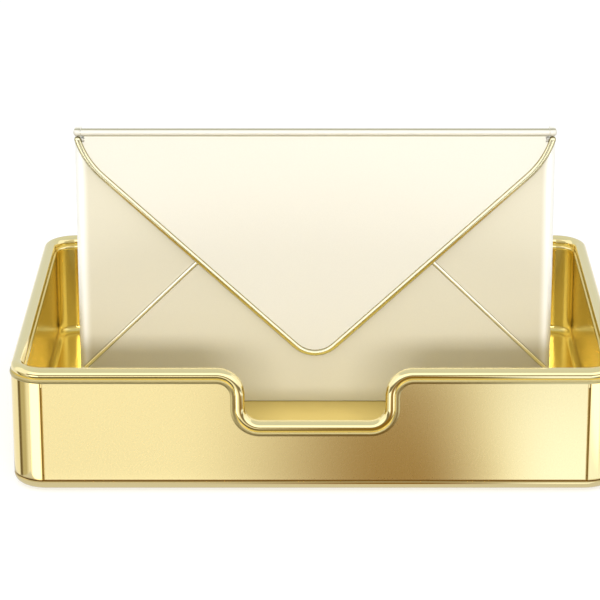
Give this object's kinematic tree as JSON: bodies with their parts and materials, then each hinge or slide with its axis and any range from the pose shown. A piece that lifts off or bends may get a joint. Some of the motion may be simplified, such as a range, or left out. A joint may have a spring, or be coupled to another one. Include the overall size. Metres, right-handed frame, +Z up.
{
  "type": "letter tray with envelope sorter",
  "caption": "Desk letter tray with a rounded rim moulding and a finger notch, and an upright metal envelope with a hinged flap that lifts out as a sorter.",
  "frame": {"origin": "middle of the tray's footprint, on the desk", "axes": "+Z up, -Y out of the notched front wall, +X to the right seen from the front"},
  "size_m": [0.34, 0.248, 0.1788],
  "materials": {
    "polished_gold": "polished, mirror-like",
    "satin_gold": "fine satin, gold anodised",
    "liner_gold": "polished, gold anodised",
    "inner_metal": "plain",
    "champagne": "satin, champagne anodised",
    "flap_champagne": "satin, pale champagne anodised",
    "trim_gold": "polished",
    "steel": "turned",
    "rubber": "matt moulded"
  },
  "bodies": {
    "tray": {"base_pan": "polished_gold", "rim_back": "polished_gold", "rim_left": "polished_gold", "rim_right": "polished_gold", "rim_front_left": "polished_gold", "rim_front_right": "polished_gold", "rim_notch_sill": "polished_gold", "rim_bend_left": "polished_gold", "rim_bend_right": "polished_gold", "corner_post_front_left": "polished_gold", "corner_post_front_right": "polished_gold", "corner_post_back_left": "polished_gold", "corner_post_back_right": "polished_gold", "rim_elbow_front_left": "polished_gold", "rim_elbow_front_right": "polished_gold", "rim_elbow_back_left": "polished_gold", "rim_elbow_back_right": "polished_gold", "front_panel": "satin_gold", "back_panel": "satin_gold", "left_panel": "satin_gold", "right_panel": "satin_gold", "inner_pan": "liner_gold", "floor_pillars": "inner_metal", "envelope_socket": "inner_metal", "base_screws": "steel", "foot_front_left": "rubber", "foot_front_right": "rubber", "foot_back_left": "rubber", "foot_back_right": "rubber"},
    "envelope": {"envelope_shell": "champagne", "left_flap": "champagne", "right_flap": "champagne", "bottom_flap": "champagne", "bottom_bar": "champagne", "left_seam_bead": "trim_gold", "right_seam_bead": "trim_gold", "hinge_lug_left": "trim_gold", "hinge_lug_right": "trim_gold", "hinge_rod": "steel"},
    "flap": {"top_flap": "flap_champagne", "flap_edge_bead": "trim_gold"}
  },
  "joints": [
    {"name": "envelope_lift", "type": "slide", "parent": "tray", "child": "envelope", "axis": [0, 0, 1], "range_m": [0, 0.08]},
    {"name": "flap_hinge", "type": "hinge", "parent": "envelope", "child": "flap", "pos_m": [0, -0.01085, 0.1767], "axis": [-1, 0, 0], "range_deg": [0, 230]}
  ]
}
